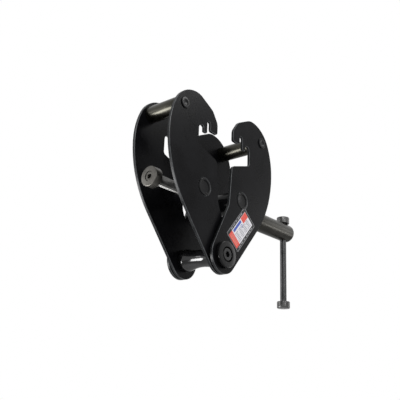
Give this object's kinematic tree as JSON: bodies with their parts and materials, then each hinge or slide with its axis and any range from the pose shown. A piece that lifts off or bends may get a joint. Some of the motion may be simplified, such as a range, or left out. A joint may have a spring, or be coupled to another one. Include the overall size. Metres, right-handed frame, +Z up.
{
  "type": "beam clamp",
  "caption": "Screw-adjusted beam clamp: hooked plate jaws hinged on a waisted suspension bar, closed on a beam flange by a spindle with a sliding tommy bar.",
  "frame": {"origin": "midway between the jaws, at the height of the flange's top face, where the teeth of the hooks bear", "axes": "+X along the spindle towards the tommy bar, +Y along the beam, away from the side with the data label, +Z up"},
  "size_m": [0.3106, 0.0872, 0.2411],
  "materials": {
    "black_powder_coat": "satin black powder coat on cut steel plate",
    "gloss_black_paint": "gloss black",
    "blackened_steel": "blackened, satin",
    "turned_steel": "bright, turned"
  },
  "bodies": {
    "suspension": {"suspension_bar": "gloss_black_paint", "front_retaining_disc": "gloss_black_paint", "rear_retaining_disc": "gloss_black_paint", "front_end_screw": "gloss_black_paint", "rear_end_screw": "gloss_black_paint", "front_spacer_washer": "blackened_steel", "rear_spacer_washer": "blackened_steel"},
    "left_jaw": {"left_plate_front": "black_powder_coat", "left_plate_rear": "black_powder_coat", "left_distance_tube": "blackened_steel", "left_rivet": "black_powder_coat"},
    "right_jaw": {"right_plate_front": "black_powder_coat", "right_plate_rear": "black_powder_coat", "right_distance_tube": "blackened_steel", "right_rivet": "black_powder_coat"},
    "left_nut": {"left_trunnion": "gloss_black_paint"},
    "right_nut": {"right_trunnion": "gloss_black_paint"},
    "spindle": {"spindle_rod": "turned_steel"},
    "spindle_head": {"spindle_barrel": "blackened_steel"},
    "spindle_end": {"spindle_collar": "turned_steel", "collar_screw": "blackened_steel"},
    "tommy": {"tommy_bar": "turned_steel", "tommy_knob_upper": "turned_steel", "tommy_knob_lower": "turned_steel"}
  },
  "joints": [
    {"name": "left_jaw_swing", "type": "hinge", "parent": "suspension", "child": "left_jaw", "pos_m": [0, 0, -0.1548], "axis": [0, -1, 0], "range_deg": [-5.1, 29.1]},
    {"name": "right_jaw_swing", "type": "hinge", "parent": "suspension", "child": "right_jaw", "pos_m": [0, 0, -0.1548], "axis": [0, 1, 0], "range_deg": [-5.1, 29.1]},
    {"name": "left_nut_swivel", "type": "hinge", "parent": "left_jaw", "child": "left_nut", "pos_m": [-0.0355, 0, -0.0738], "axis": [0, 1, 0], "range_deg": [-5.1, 29.1]},
    {"name": "right_nut_swivel", "type": "hinge", "parent": "right_jaw", "child": "right_nut", "pos_m": [0.0355, 0, -0.0738], "axis": [0, -1, 0], "range_deg": [-5.1, 29.1]},
    {"name": "spindle_slide", "type": "slide", "parent": "left_nut", "child": "spindle", "axis": [1, 0, 0], "range_m": [-0.0061, 0.0346]},
    {"name": "spindle_turn", "type": "hinge", "parent": "spindle", "child": "spindle_head", "pos_m": [0.15, 0, -0.0738], "axis": [1, 0, 0], "range_deg": [-1080, 6210]},
    {"name": "spindle_end_turn", "type": "hinge", "parent": "spindle", "child": "spindle_end", "pos_m": [-0.0975, 0, -0.0738], "axis": [1, 0, 0], "range_deg": [-1080, 6210]},
    {"name": "tommy_slide", "type": "slide", "parent": "spindle_head", "child": "tommy", "axis": [0, 0, 1], "range_m": [0, 0.093]}
  ],
  "couplings": [
    {"joint": "left_jaw_swing", "follows": "spindle_turn", "ratio": 0.0046699},
    {"joint": "right_jaw_swing", "follows": "spindle_turn", "ratio": 0.0046699},
    {"joint": "left_nut_swivel", "follows": "spindle_turn", "ratio": 0.0046699},
    {"joint": "right_nut_swivel", "follows": "spindle_turn", "ratio": 0.0046699},
    {"joint": "spindle_slide", "follows": "spindle_turn", "m_per_rad": 0.00031831},
    {"joint": "spindle_end_turn", "follows": "spindle_turn", "ratio": 1}
  ]
}
